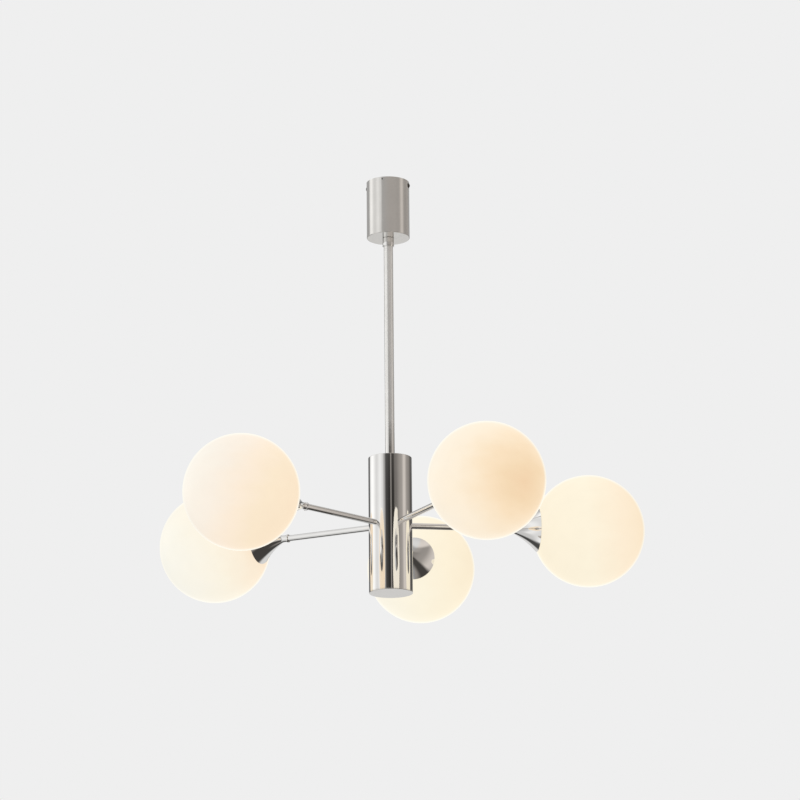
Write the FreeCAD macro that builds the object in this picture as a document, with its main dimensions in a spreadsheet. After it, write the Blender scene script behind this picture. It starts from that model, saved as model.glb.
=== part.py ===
import FreeCAD, Part
import os
import re
import Sketcher
from FreeCAD import Placement, Rotation, Vector

# Branch chandelier with five opal globes on level arms, in millimetres.
# The origin is on the lamp's axis in the ceiling's plane, +Z is up and the first arm points along +X.
# The canopy and what it holds hang from z = 0 down. An arm's pieces are drawn in the arm's own frame:
# X runs outward along the arm from the lamp's axis, and the sketches are drawn as (distance, radius).

SIZES = {
    # ceiling bracket and canopy
    "canopy_diameter": 58,
    "canopy_height": 79,
    "canopy_wall": 1.5,
    "canopy_floor": 2,
    "canopy_round": 0.8,
    "canopy_turn": -24,
    "bracket_clearance": 0.3,
    "bracket_depth": 11,
    "bracket_plate": 2.5,
    "bracket_skirt": 2,
    "bracket_round": 1,
    "cable_hole": 10,
    "ceiling_hole_spacing": 34,
    "ceiling_hole": 5,
    # domed side screws and the small hole beside the rim
    "side_screw": 4,
    "side_screw_drop": 6,
    "side_screw_clearance": 0.15,
    "side_screw_tip": 1.5,
    "side_head": 7,
    "side_head_rise": 1.8,
    "socket_flats": 2,
    "socket_depth": 1,
    "rim_hole": 2.4,
    "rim_hole_drop": 3,
    # terminal block and earth screw under the bracket
    "terminal_poles": 3,
    "terminal_pitch": 7,
    "terminal_width": 10,
    "terminal_height": 13,
    "terminal_offset": 16,
    "wire_bore": 3,
    "wire_bore_level": 8,
    "pole_well": 2.8,
    "fixing_screw": 2.5,
    "fixing_head": 4.8,
    "fixing_head_height": 1.8,
    "earth_screw": 4,
    "earth_head": 8,
    "earth_head_height": 2.6,
    "earth_grip": 4,
    "drive_slot": 0.8,
    "drive_slot_depth": 0.8,
    # threaded tubes with their nuts and washers
    "nipple_diameter": 10,
    "nipple_bore": 7,
    "nipple_grip": 14,
    "nipple_show": 2,
    "swivel_clearance": 0.06,
    "swivel_gap": 0.1,
    "nut_flats": 14,
    "nut_height": 5,
    "nut_chamfer": 0.7,
    "nut_chamfer_angle": 30,
    "washer_diameter": 20,
    "washer_thickness": 1,
    # coupler and stem
    "coupler_diameter": 15.5,
    "coupler_height": 12,
    "coupler_chamfer": 0.5,
    "stem_diameter": 12.5,
    "stem_length": 296,
    # hub
    "hub_diameter": 58,
    "hub_height": 184,
    "hub_wall": 1.5,
    "hub_plate": 2.5,
    "hub_round": 0.5,
    "cap_plate": 2,
    "cap_spigot": 8,
    "cap_spigot_wall": 1.5,
    "cap_clearance": 0.1,
    # arms
    "arm_count": 5,
    "arm_reach": 268,
    "arm_diameter": 8,
    "arm_wall": 1,
    "arm_nut_flats": 13,
    "arm_nut_height": 4,
    "arm_nut_show": 2,
    "collar_diameter": 11,
    "collar_thickness": 2.5,
    "collar_chamfer": 0.5,
    # trumpet that holds the globe
    "holder_length": 42,
    "holder_wall": 0.8,
    "holder_neck": 9.2,
    "holder_rim": 59.2,
    "holder_seat": 16,
    "rim_gap": 0.3,
    "flare_angle": 25,
    "flare_bend": 9,
    "flare_radius": 110,
    # threaded gallery in the trumpet, and the nut that clamps both
    "gallery_base": 15.2,
    "gallery_base_bore": 13.6,
    "gallery_plate": 1.2,
    "gallery_wall": 1,
    "gallery_depth": 6,
    "gallery_gap": 1.5,
    "gallery_clearance": 0.3,
    "holder_nut_flats": 11,
    "holder_nut_height": 3.2,
    # globe
    "globe_diameter": 150,
    "globe_wall": 2.5,
    "globe_neck": 31,
    "globe_neck_wall": 2.7,
    "globe_neck_round": 1,
    # ceramic lampholder
    "boss_diameter": 13,
    "boss_length": 6,
    "boss_grip": 4,
    "lampholder_diameter": 18,
    "lampholder_length": 21,
    "lampholder_round": 0.8,
    "recess_depth": 3,
    "slot_length": 8.6,
    # capsule lamp
    "bulb_diameter": 16,
    "bulb_length": 38,
    "bulb_shoulder": 3,
    "bulb_tip": 3,
    "bulb_cheek": 2.7,
    "pinch_width": 14,
    "pinch_thickness": 4.4,
    "pinch_length": 9,
    "pin_spacing": 9,
    "pin_width": 2.2,
    "pin_thickness": 0.9,
    "pin_length": 8,
    "pin_clearance": 0.25,
}

# lengths worked out from the sizes; a name in capitals is an expression that the model's objects keep
HUB_TOP = "(canopy_height + coupler_height + stem_length)"
ARM_LEVEL = f"({HUB_TOP} + hub_height / 2)"
BRACKET_RADIUS = "(canopy_diameter / 2 - canopy_wall - bracket_clearance)"
NIPPLE_RADIUS = "(nipple_diameter / 2)"
ARM_RADIUS = "(arm_diameter / 2)"
GLOBE_RADIUS = "(globe_diameter / 2)"
HUB_INSIDE = "(hub_diameter / 2 - hub_wall)"
CHAMFER_RUN = "(nut_chamfer / tan(nut_chamfer_angle * 1deg))"
ARM_NUT_RIM = f"(arm_nut_flats / sqrt(3) + nut_chamfer - {CHAMFER_RUN})"
ARM_NUT_FACE = f"(sqrt({HUB_INSIDE} ^ 2 - {ARM_NUT_RIM} ^ 2))"
ARM_INNER_END = f"({ARM_NUT_FACE} - arm_nut_height - arm_nut_show)"

# The trumpet's wall bends out of the neck through flare_angle, then flares more slowly to the rim.
RIM_RADIUS = "(holder_rim / 2)"
NECK_RADIUS = "(holder_neck / 2)"
FLARE_COS = "cos(flare_angle * 1deg)"
FLARE_SIN = "sin(flare_angle * 1deg)"
BEND_RISE = f"(flare_bend * (1 - {FLARE_COS}))"
RIM_COS = f"({FLARE_COS} - ({RIM_RADIUS} - {NECK_RADIUS} - {BEND_RISE}) / flare_radius)"
RIM_SIN = f"sqrt(1 - {RIM_COS} ^ 2)"
RIM_INSIDE = f"({RIM_RADIUS} - holder_wall * {RIM_COS})"
RIM_AT = (f"(arm_reach - sqrt({GLOBE_RADIUS} ^ 2 - {RIM_INSIDE} ^ 2) - rim_gap"
          f" - holder_wall * {RIM_SIN})")
FLARE_CENTRE_AT = f"({RIM_AT} - flare_radius * {RIM_SIN})"
FLARE_CENTRE_HIGH = f"({RIM_RADIUS} + flare_radius * {RIM_COS})"
NECK_AT = f"({RIM_AT} - holder_length)"
SEAT_AT = f"({NECK_AT} + holder_seat)"

# what stands on the seat in the trumpet, going outward
HOLDER_NUT_AT = f"({SEAT_AT} + gallery_plate)"
LAMPHOLDER_AT = f"({HOLDER_NUT_AT} + holder_nut_height)"
ARM_OUTER_END = f"({LAMPHOLDER_AT} + boss_grip)"
LAMPHOLDER_FACE = f"({LAMPHOLDER_AT} + lampholder_length)"
RECESS_AT = f"({LAMPHOLDER_FACE} - recess_depth)"
ENVELOPE_AT = f"({RECESS_AT} + pinch_length - bulb_shoulder)"
GLOBE_NECK_RADIUS = "(globe_neck / 2)"
CUP_BORE = f"({GLOBE_NECK_RADIUS} + gallery_clearance)"
CUP_RADIUS = f"({CUP_BORE} + gallery_wall)"
CUP_END = f"(arm_reach - sqrt({GLOBE_RADIUS} ^ 2 - {CUP_RADIUS} ^ 2) - gallery_gap)"
CUP_AT = f"({CUP_END} - gallery_depth)"

doc = FreeCAD.newDocument("branch_chandelier")
sheet = doc.addObject("Spreadsheet::Sheet", "sheet")
for row, (alias, size) in enumerate(SIZES.items(), start=1):
    sheet.set(f"A{row}", alias)
    sheet.set(f"B{row}", str(size))
    sheet.setAlias(f"B{row}", alias)
doc.recompute()


def bound(text):
    """The expression with each size's alias led back to the sheet."""
    return re.sub(r"[a-z_]+", lambda word: "sheet." + word[0] if word[0] in SIZES else word[0], text)


def value(text):
    return float(sheet.evalExpression(bound(text)))


def bind(item, path, text):
    item.setExpression(path, bound(text))


def new_body(label):
    body = doc.addObject("PartDesign::Body", label)
    body.Label = label
    return body


def new_sketch(body, plane, offset="0"):
    """A sketch on one of the body's own planes, moved along the plane's normal."""
    sketch = body.newObject("Sketcher::SketchObject", "Sketch")
    support = next(item for item in body.Origin.OriginFeatures if item.Role == plane)
    sketch.AttachmentSupport = [(support, "")]
    sketch.MapMode = "FlatFace"
    if offset != "0":
        bind(sketch, ".AttachmentOffset.Base.z", offset)
    return sketch


def fix_point(sketch, geometry, vertex, across, along):
    """Ties a point to the sketch's origin by two sizes."""
    for kind, axis, text in (("DistanceX", -2, across), ("DistanceY", -1, along)):
        if text == "0":
            sketch.addConstraint(Sketcher.Constraint("PointOnObject", geometry, vertex, axis))
        else:
            limit = Sketcher.Constraint(kind, -1, 1, geometry, vertex, value(text))
            bind(sketch, f"Constraints[{sketch.addConstraint(limit)}]", text)


def fix_radius(sketch, geometry, radius):
    limit = Sketcher.Constraint("Radius", geometry, value(radius))
    bind(sketch, f"Constraints[{sketch.addConstraint(limit)}]", radius)


def arc_between(start, end, radius, side):
    """Arc from start to end with its centre on the left (side 1) or on the right (side -1)."""
    half = (end - start) * 0.5
    normal = Vector(-half.y, half.x, 0).normalize()
    rise = max(radius ** 2 - half.Length ** 2, 0) ** 0.5
    centre = start + half + normal * rise * side
    angles = [(point - centre) for point in ((start, end) if side > 0 else (end, start))]
    angles = [Vector(1, 0, 0).getAngle(arm) * (1 if arm.y >= 0 else -1) for arm in angles]
    return Part.ArcOfCircle(Part.Circle(centre, Vector(0, 0, 1), radius), *angles)


def outline(sketch, corners, arcs=None):
    """Closed outline through the corners. arcs gives the radius and side of an arc by its first corner."""
    arcs = arcs or {}
    points = [Vector(value(across), value(along), 0) for across, along in corners]
    edges = []
    for index, start in enumerate(points):
        end = points[(index + 1) % len(points)]
        if index in arcs:
            radius, side = arcs[index]
            geometry = sketch.addGeometry(arc_between(start, end, value(radius), side))
            edges.append((geometry, 1, 2) if side > 0 else (geometry, 2, 1))
        else:
            edges.append((sketch.addGeometry(Part.LineSegment(start, end)), 1, 2))
    for index, (geometry, first, last) in enumerate(edges):
        following, start_vertex, _ = edges[(index + 1) % len(edges)]
        sketch.addConstraint(Sketcher.Constraint("Coincident", geometry, last, following, start_vertex))
    for index, (geometry, first, last) in enumerate(edges):
        fix_point(sketch, geometry, first, *corners[index])
        if index in arcs:
            fix_radius(sketch, geometry, arcs[index][0])


def rectangle(sketch, left, low, right, high):
    outline(sketch, [(left, low), (right, low), (right, high), (left, high)])


def circle(sketch, across, along, radius):
    middle = Vector(value(across), value(along), 0)
    geometry = sketch.addGeometry(Part.Circle(middle, Vector(0, 0, 1), value(radius)))
    fix_point(sketch, geometry, 3, across, along)
    fix_radius(sketch, geometry, radius)


def hexagon(sketch, flats):
    corner = f"({flats} / sqrt(3))"
    middle = f"({corner} / 2)"
    outline(sketch, [(corner, "0"), (middle, f"{flats} / 2"), (f"-{middle}", f"{flats} / 2"),
                     (f"-{corner}", "0"), (f"-{middle}", f"-{flats} / 2"), (middle, f"-{flats} / 2")])


def revolve(body, sketch, axis, kind="Revolution"):
    feature = body.newObject("PartDesign::" + kind, kind)
    feature.Profile = sketch
    feature.ReferenceAxis = (sketch, [axis])
    feature.Angle = 360
    return feature


def pad(body, sketch, length, flip=False):
    feature = body.newObject("PartDesign::Pad", "Pad")
    feature.Profile = sketch
    feature.Reversed = flip
    bind(feature, "Length", length)
    return feature


def pocket(body, sketch, length=None, flip=False, both=False):
    """Cuts against the sketch's normal, along it with flip, or both ways; right through without a length."""
    feature = body.newObject("PartDesign::Pocket", "Pocket")
    feature.Profile = sketch
    feature.Reversed = flip
    if both:
        feature.SideType = "Symmetric"
    if length is None:
        feature.Type = "ThroughAll"
    else:
        bind(feature, "Length", length)
    return feature


def polar(body, feature, axis, count):
    """Repeats a feature about one of the body's own axes."""
    pattern = body.newObject("PartDesign::PolarPattern", "PolarPattern")
    pattern.Originals = [feature]
    pattern.Axis = (next(item for item in body.Origin.OriginFeatures if item.Role == axis), [""])
    pattern.Angle = 360
    bind(pattern, "Occurrences", count)
    body.Tip = pattern


def round_circle(body, axis, radius, place, size):
    """Rounds the circular edge about the axis that has this radius at this place along the axis."""
    doc.recompute()
    base = body.Tip
    names = []
    for number, edge in enumerate(base.Shape.Edges, start=1):
        if not edge.Degenerated and isinstance(edge.Curve, Part.Circle):
            centre = getattr(edge.Curve.Center, axis)
            if abs(edge.Curve.Radius - value(radius)) < 1e-4 and abs(centre - value(place)) < 1e-4:
                names.append(f"Edge{number}")
    fillet = body.newObject("PartDesign::Fillet", "Fillet")
    fillet.Base = (base, names)
    bind(fillet, "Radius", size)


def place(item, down, turn="0", across="0", along="0"):
    """Puts a piece at a depth below the ceiling, turned about the lamp's axis."""
    item.Placement = Placement(Vector(), Rotation(Vector(0, 0, 1), 0))
    bind(item, ".Placement.Base.z", f"-({down})")
    if turn != "0":
        bind(item, ".Placement.Rotation.Angle", f"({turn}) * 1deg")
    if across != "0" or along != "0":
        cosine = f"cos(({turn}) * 1deg)"
        sine = f"sin(({turn}) * 1deg)"
        bind(item, ".Placement.Base.x", f"({across}) * {cosine} - ({along}) * {sine}")
        bind(item, ".Placement.Base.y", f"({across}) * {sine} + ({along}) * {cosine}")
    return item


def group(label, members):
    compound = doc.addObject("Part::Compound", label)
    compound.Label = label
    compound.Links = members
    return compound


def turned(label, corners, arcs=None):
    """A piece turned about the lamp's axis, drawn as (radius, height)."""
    body = new_body(label)
    sketch = new_sketch(body, "XZ_Plane")
    outline(sketch, corners, arcs)
    revolve(body, sketch, "V_Axis")
    return body


def arm_turned(label, corners, arcs=None):
    """A piece turned about the arm's axis, drawn as (distance, radius)."""
    body = new_body(label)
    sketch = new_sketch(body, "XZ_Plane")
    outline(sketch, corners, arcs)
    revolve(body, sketch, "H_Axis")
    return body


def tube(label, bore, radius, length):
    return turned(label, [(bore, "0"), (radius, "0"), (radius, length), (bore, length)])


def arm_angle(number):
    return f"{number} * 360 / arm_count"


def screw(label, shank, head, head_height, length):
    """Slotted screw with a cylindrical head, standing on the head."""
    body = turned(label, [("0", "0"), (f"{head} / 2", "0"), (f"{head} / 2", head_height),
                          (f"{shank} / 2", head_height), (f"{shank} / 2", length), ("0", length)])
    slot = new_sketch(body, "XY_Plane")
    rectangle(slot, f"-{head}", "-drive_slot / 2", head, "drive_slot / 2")
    pocket(body, slot, "drive_slot_depth", flip=True)
    return body


def hex_nut(label, plane, offset, flats, bore, height):
    """Hexagon nut with its outer corners turned off on the free side, along the plane's normal."""
    body = new_body(label)
    sketch = new_sketch(body, plane, offset)
    hexagon(sketch, flats)
    circle(sketch, "0", "0", bore)
    pad(body, sketch, height)
    across_z = plane == "XY_Plane"
    corner = f"({flats} / sqrt(3) + nut_chamfer)"
    top = f"({offset} + {height})"
    cutter = new_sketch(body, "XZ_Plane")
    triangle = [(corner, f"{top} + nut_chamfer"), (f"{corner} - 2 * {CHAMFER_RUN}", f"{top} + nut_chamfer"),
                (corner, f"{top} - nut_chamfer")]
    if across_z:
        outline(cutter, triangle)
    else:
        outline(cutter, [(high, across) for across, high in triangle])
    revolve(body, cutter, "V_Axis" if across_z else "H_Axis", "Groove")
    return body


def ceiling_bracket():
    """Pressed pan against the ceiling, with a skirt for the side screws."""
    inside = f"({BRACKET_RADIUS} - bracket_skirt)"
    underside = "(bracket_depth - bracket_plate)"
    body = turned("ceiling_bracket", [
        ("cable_hole / 2", underside), (inside, underside), (inside, "0"), (BRACKET_RADIUS, "0"),
        (BRACKET_RADIUS, "bracket_depth"), ("cable_hole / 2", "bracket_depth")])
    round_circle(body, "z", BRACKET_RADIUS, "bracket_depth", "bracket_round")
    holes = new_sketch(body, "XY_Plane")
    for side in ("", "-"):
        across = f"{side}ceiling_hole_spacing / 2 * cos(canopy_turn * 1deg)"
        along = f"{side}ceiling_hole_spacing / 2 * sin(-canopy_turn * 1deg)"
        circle(holes, across, along, "ceiling_hole / 2")
    circle(holes, "-terminal_pitch / 2", "terminal_offset", "fixing_screw / 2")
    circle(holes, "0", "-terminal_offset", "earth_screw / 2")
    pocket(body, holes, flip=True)
    threads = new_sketch(body, "YZ_Plane")
    circle(threads, "0", "bracket_depth - side_screw_drop", "side_screw / 2")
    pocket(body, threads, both=True)
    return place(body, "bracket_depth", "canopy_turn")


def canopy():
    """Deep cup with its mouth to the ceiling."""
    outside = "(canopy_diameter / 2)"
    inside = "(canopy_diameter / 2 - canopy_wall)"
    bore = f"({NIPPLE_RADIUS} + swivel_clearance)"
    body = turned("canopy", [(bore, "0"), (outside, "0"), (outside, "canopy_height"),
                             (inside, "canopy_height"), (inside, "canopy_floor"), (bore, "canopy_floor")])
    round_circle(body, "z", outside, "0", "canopy_round")
    holes = new_sketch(body, "YZ_Plane")
    circle(holes, "0", "canopy_height - side_screw_drop", "side_screw / 2 + side_screw_clearance")
    pocket(body, holes, both=True)
    rim_hole = new_sketch(body, "XZ_Plane")
    circle(rim_hole, "0", "canopy_height - rim_hole_drop", "rim_hole / 2")
    pocket(body, rim_hole, flip=True)
    return place(body, "canopy_height", "canopy_turn")


def canopy_screws():
    """Two screws with domed heads on opposite sides of the canopy."""
    screws = []
    seat = "(canopy_diameter / 2)"
    crown = f"({seat} + side_head_rise)"
    tip = f"({BRACKET_RADIUS} - bracket_skirt - side_screw_tip)"
    dome = "(((side_head / 2) ^ 2 + side_head_rise ^ 2) / (2 * side_head_rise))"
    for side in (0, 1):
        body = arm_turned(f"canopy_screw_{side + 1}", [
            (tip, "0"), (tip, "side_screw / 2"), (seat, "side_screw / 2"), (seat, "side_head / 2"),
            (crown, "0")], {3: (dome, -1)})
        socket = new_sketch(body, "YZ_Plane", crown)
        hexagon(socket, "socket_flats")
        pocket(body, socket, "socket_depth")
        screws.append(place(body, "side_screw_drop", f"canopy_turn + {side} * 180"))
    return group("canopy_screws", screws)


def mains_terminal():
    """Terminal block against the bracket's underside, with its clamping screws' wells below."""
    half = "(terminal_poles * terminal_pitch / 2)"
    body = new_body("mains_terminal")
    block = new_sketch(body, "XY_Plane")
    rectangle(block, f"-{half}", "terminal_offset - terminal_width / 2",
              half, "terminal_offset + terminal_width / 2")
    pad(body, block, "terminal_height")
    bores = new_sketch(body, "XZ_Plane")
    wells = new_sketch(body, "XY_Plane")
    for pole in range(int(SIZES["terminal_poles"])):
        across = f"({pole} - (terminal_poles - 1) / 2) * terminal_pitch"
        circle(bores, across, "wire_bore_level", "wire_bore / 2")
        circle(wells, across, "terminal_offset", "pole_well / 2")
    pocket(body, bores, both=True)
    pocket(body, wells, "wire_bore_level", flip=True)
    fixing = new_sketch(body, "XY_Plane")
    circle(fixing, "-terminal_pitch / 2", "terminal_offset", "fixing_screw / 2")
    pocket(body, fixing, flip=True)
    return place(body, "bracket_plate + terminal_height", "canopy_turn")


def terminal_screw():
    body = screw("terminal_screw", "fixing_screw", "fixing_head", "fixing_head_height",
                 "(fixing_head_height + terminal_height + bracket_plate)")
    down = "bracket_plate + terminal_height + fixing_head_height"
    return place(body, down, "canopy_turn", "-terminal_pitch / 2", "terminal_offset")


def earth_screw():
    body = screw("earth_screw", "earth_screw", "earth_head", "earth_head_height",
                 "(earth_head_height + earth_grip + bracket_plate)")
    down = "bracket_plate + earth_grip + earth_head_height"
    return place(body, down, "canopy_turn", "0", "-terminal_offset")


def swivel():
    """Threaded tube that the stem turns on in the canopy's floor, with the nut and washer that carry it."""
    inner = "canopy_height - canopy_floor"
    stack = "(canopy_floor + washer_thickness + nut_height + nipple_show)"
    nipple = tube("swivel_nipple", "nipple_bore / 2", NIPPLE_RADIUS,
                  f"(nipple_grip + coupler_height + {stack})")
    place(nipple, "canopy_height + coupler_height + nipple_grip")
    washer = tube("swivel_washer", NIPPLE_RADIUS, "washer_diameter / 2", "washer_thickness")
    place(washer, inner)
    nut = hex_nut("swivel_nut", "XY_Plane", "0", "nut_flats", NIPPLE_RADIUS, "nut_height")
    place(nut, f"{inner} - washer_thickness")
    return [nipple, washer, nut]


def stem_coupler():
    outside = "(coupler_diameter / 2)"
    height = "(coupler_height - swivel_gap)"
    body = turned("stem_coupler", [
        (NIPPLE_RADIUS, "0"), (f"{outside} - coupler_chamfer", "0"), (outside, "coupler_chamfer"),
        (outside, f"{height} - coupler_chamfer"), (f"{outside} - coupler_chamfer", height),
        (NIPPLE_RADIUS, height)])
    return place(body, "canopy_height + coupler_height")


def stem_tube():
    body = tube("stem_tube", NIPPLE_RADIUS, "stem_diameter / 2", "stem_length")
    return place(body, HUB_TOP)


def hub_fixing():
    """Threaded tube, washer and nut that pull the hub up against the stem."""
    stack = "(hub_plate + washer_thickness + nut_height + nipple_show)"
    nipple = tube("hub_nipple", "nipple_bore / 2", NIPPLE_RADIUS, f"(nipple_grip + {stack})")
    place(nipple, f"{HUB_TOP} + {stack}")
    washer = tube("hub_washer", NIPPLE_RADIUS, "washer_diameter / 2", "washer_thickness")
    place(washer, f"{HUB_TOP} + hub_plate + washer_thickness")
    nut = hex_nut("hub_nut", "XY_Plane", "0", "nut_flats", NIPPLE_RADIUS, "nut_height")
    place(nut, f"{HUB_TOP} + hub_plate + washer_thickness + nut_height")
    return [nipple, washer, nut]


def hub_body():
    """Drum with a closed top and one hole for each arm."""
    outside = "(hub_diameter / 2)"
    ceiling = "(hub_height - hub_plate)"
    body = turned("hub_body", [(NIPPLE_RADIUS, "hub_height"), (NIPPLE_RADIUS, ceiling), (HUB_INSIDE, ceiling),
                               (HUB_INSIDE, "cap_plate"), (outside, "cap_plate"), (outside, "hub_height")])
    round_circle(body, "z", outside, "hub_height", "hub_round")
    hole = new_sketch(body, "YZ_Plane")
    circle(hole, "0", "hub_height / 2", ARM_RADIUS)
    polar(body, pocket(body, hole, flip=True), "Z_Axis", "arm_count")
    return place(body, f"{HUB_TOP} + hub_height")


def hub_cap():
    """Flat bottom plate with a spigot inside the drum."""
    outside = "(hub_diameter / 2)"
    spigot = f"({HUB_INSIDE} - cap_clearance)"
    top = "(cap_plate + cap_spigot)"
    body = turned("hub_cap", [("0", "0"), (outside, "0"), (outside, "cap_plate"), (spigot, "cap_plate"),
                              (spigot, top), (f"{spigot} - cap_spigot_wall", top),
                              (f"{spigot} - cap_spigot_wall", "cap_plate"), ("0", "cap_plate")])
    round_circle(body, "z", outside, "0", "hub_round")
    return place(body, f"{HUB_TOP} + hub_height")


def arm_nuts():
    nuts = []
    for number in range(SIZES["arm_count"]):
        nut = hex_nut(f"arm_nut_{number + 1}", "YZ_Plane", f"({ARM_NUT_FACE} - arm_nut_height)",
                      "arm_nut_flats", ARM_RADIUS, "arm_nut_height")
        nuts.append(place(nut, ARM_LEVEL, arm_angle(number)))
    return group("arm_nuts", nuts)


def holder_nuts():
    nuts = []
    for number in range(SIZES["arm_count"]):
        nut = hex_nut(f"holder_nut_{number + 1}", "YZ_Plane", HOLDER_NUT_AT,
                      "holder_nut_flats", ARM_RADIUS, "holder_nut_height")
        nuts.append(place(nut, ARM_LEVEL, arm_angle(number)))
    return group("holder_nuts", nuts)


def arm_tube(label):
    bore = f"({ARM_RADIUS} - arm_wall)"
    return arm_turned(label, [(ARM_INNER_END, bore), (ARM_OUTER_END, bore),
                              (ARM_OUTER_END, ARM_RADIUS), (ARM_INNER_END, ARM_RADIUS)])


def arm_collar(label):
    outside = "(collar_diameter / 2)"
    near = f"({NECK_AT} - collar_thickness)"
    return arm_turned(label, [
        (near, ARM_RADIUS), (NECK_AT, ARM_RADIUS), (NECK_AT, f"{outside} - collar_chamfer"),
        (f"{NECK_AT} - collar_chamfer", outside), (f"{near} + collar_chamfer", outside),
        (near, f"{outside} - collar_chamfer")])


def shade_holder(label):
    """Trumpet with a solid neck and a thin flared wall that ends just short of the globe."""
    inner_radius = "(flare_radius + holder_wall)"
    seat_radius = (f"({FLARE_CENTRE_HIGH} - sqrt({inner_radius} ^ 2"
                   f" - ({SEAT_AT} - {FLARE_CENTRE_AT}) ^ 2))")
    bend_at = f"({FLARE_CENTRE_AT} + flare_radius * {FLARE_SIN})"
    return arm_turned(label, [
        (NECK_AT, ARM_RADIUS),
        (SEAT_AT, ARM_RADIUS),
        (SEAT_AT, seat_radius),
        (f"{RIM_AT} + holder_wall * {RIM_SIN}", RIM_INSIDE),
        (RIM_AT, RIM_RADIUS),
        (bend_at, f"{NECK_RADIUS} + {BEND_RISE}"),
        (f"{bend_at} - flare_bend * {FLARE_SIN}", NECK_RADIUS),
        (NECK_AT, NECK_RADIUS),
    ], {2: (inner_radius, 1), 4: ("flare_radius", -1), 5: ("flare_bend", -1)})


def gallery(label):
    """Cone and cup inside the trumpet; the globe's neck screws into the cup down to its ledge."""
    ledge = "((globe_neck - globe_neck_wall) / 2)"
    return arm_turned(label, [
        (SEAT_AT, ARM_RADIUS), (HOLDER_NUT_AT, ARM_RADIUS), (HOLDER_NUT_AT, "gallery_base_bore / 2"),
        (CUP_AT, ledge), (CUP_AT, CUP_BORE), (CUP_END, CUP_BORE), (CUP_END, CUP_RADIUS),
        (CUP_AT, CUP_RADIUS), (SEAT_AT, "gallery_base / 2")])


def lampholder(label):
    """Ceramic holder screwed onto the arm's end, with a recess and two slots for the lamp."""
    boss = "(boss_diameter / 2)"
    outside = "(lampholder_diameter / 2)"
    step = f"({LAMPHOLDER_AT} + boss_length)"
    body = arm_turned(label, [
        (LAMPHOLDER_AT, ARM_RADIUS), (ARM_OUTER_END, ARM_RADIUS), (ARM_OUTER_END, "0"),
        (LAMPHOLDER_FACE, "0"), (LAMPHOLDER_FACE, outside), (step, outside), (step, boss),
        (LAMPHOLDER_AT, boss)])
    round_circle(body, "x", outside, LAMPHOLDER_FACE, "lampholder_round")
    recess = new_sketch(body, "YZ_Plane", LAMPHOLDER_FACE)
    across = "(pinch_width / 2 + pin_clearance)"
    high = "(pinch_thickness / 2 + pin_clearance)"
    rectangle(recess, f"-{across}", f"-{high}", across, high)
    pocket(body, recess, "recess_depth")
    slots = new_sketch(body, "YZ_Plane", RECESS_AT)
    pin_slots(slots, "pin_clearance")
    pocket(body, slots, "slot_length")
    return body


def pin_slots(sketch, clearance):
    """The two pins' outlines, drawn wider by a clearance."""
    for side in ("-", ""):
        middle = f"{side}pin_spacing / 2"
        rectangle(sketch, f"{middle} - pin_width / 2 - {clearance}", f"-(pin_thickness / 2 + {clearance})",
                  f"{middle} + pin_width / 2 + {clearance}", f"pin_thickness / 2 + {clearance}")


def globe(label):
    """Blown opal ball with a short neck towards the hub."""
    inside = f"({GLOBE_RADIUS} - globe_wall)"
    bore = f"({GLOBE_NECK_RADIUS} - globe_neck_wall)"
    neck_foot = f"(arm_reach - sqrt({GLOBE_RADIUS} ^ 2 - {GLOBE_NECK_RADIUS} ^ 2))"
    body = arm_turned(label, [
        (CUP_AT, bore),
        (f"arm_reach - sqrt({inside} ^ 2 - {bore} ^ 2)", bore),
        (f"arm_reach + {inside}", "0"),
        (f"arm_reach + {GLOBE_RADIUS}", "0"),
        (neck_foot, GLOBE_NECK_RADIUS),
        (CUP_AT, GLOBE_NECK_RADIUS),
    ], {1: (inside, -1), 3: (GLOBE_RADIUS, 1)})
    round_circle(body, "x", GLOBE_NECK_RADIUS, neck_foot, "globe_neck_round")
    return body


def bulb(label):
    """Capsule lamp: glass envelope, flat pinch and two pins."""
    radius = "(bulb_diameter / 2)"
    shoulder = f"({ENVELOPE_AT} + bulb_shoulder)"
    dome = f"({ENVELOPE_AT} + bulb_length - bulb_tip)"
    cheek = f"({radius} - bulb_cheek)"
    foot = "(pinch_thickness / 2)"
    body = arm_turned(label, [
        (ENVELOPE_AT, "0"), (ENVELOPE_AT, foot), (shoulder, radius), (dome, radius),
        (f"{dome} + bulb_cheek", cheek), (f"{dome} + bulb_tip", "0")],
        {3: ("bulb_cheek", -1)})
    pinch = new_sketch(body, "YZ_Plane", RECESS_AT)
    rectangle(pinch, "-pinch_width / 2", "-pinch_thickness / 2", "pinch_width / 2", "pinch_thickness / 2")
    pad(body, pinch, "pinch_length")
    pins = new_sketch(body, "YZ_Plane", RECESS_AT)
    pin_slots(pins, "0")
    pad(body, pins, "pin_length", flip=True)
    return body


ARM_PIECES = {"arm_tube": arm_tube, "arm_collar": arm_collar, "shade_holder": shade_holder,
              "gallery": gallery, "lampholder": lampholder, "globe": globe, "bulb": bulb}


def build():
    """Every sub-part in the order in which the lamp goes together from the ceiling down."""
    pieces = [ceiling_bracket(), canopy(), canopy_screws(), mains_terminal(), terminal_screw(),
              earth_screw(), *swivel(), stem_coupler(), stem_tube(), *hub_fixing(), hub_body(),
              hub_cap(), arm_nuts(), holder_nuts()]
    for name, make in ARM_PIECES.items():
        for number in range(SIZES["arm_count"]):
            piece = make(f"{name}_{number + 1}")
            pieces.append(place(piece, ARM_LEVEL, arm_angle(number)))
    doc.recompute()
    return pieces


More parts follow.
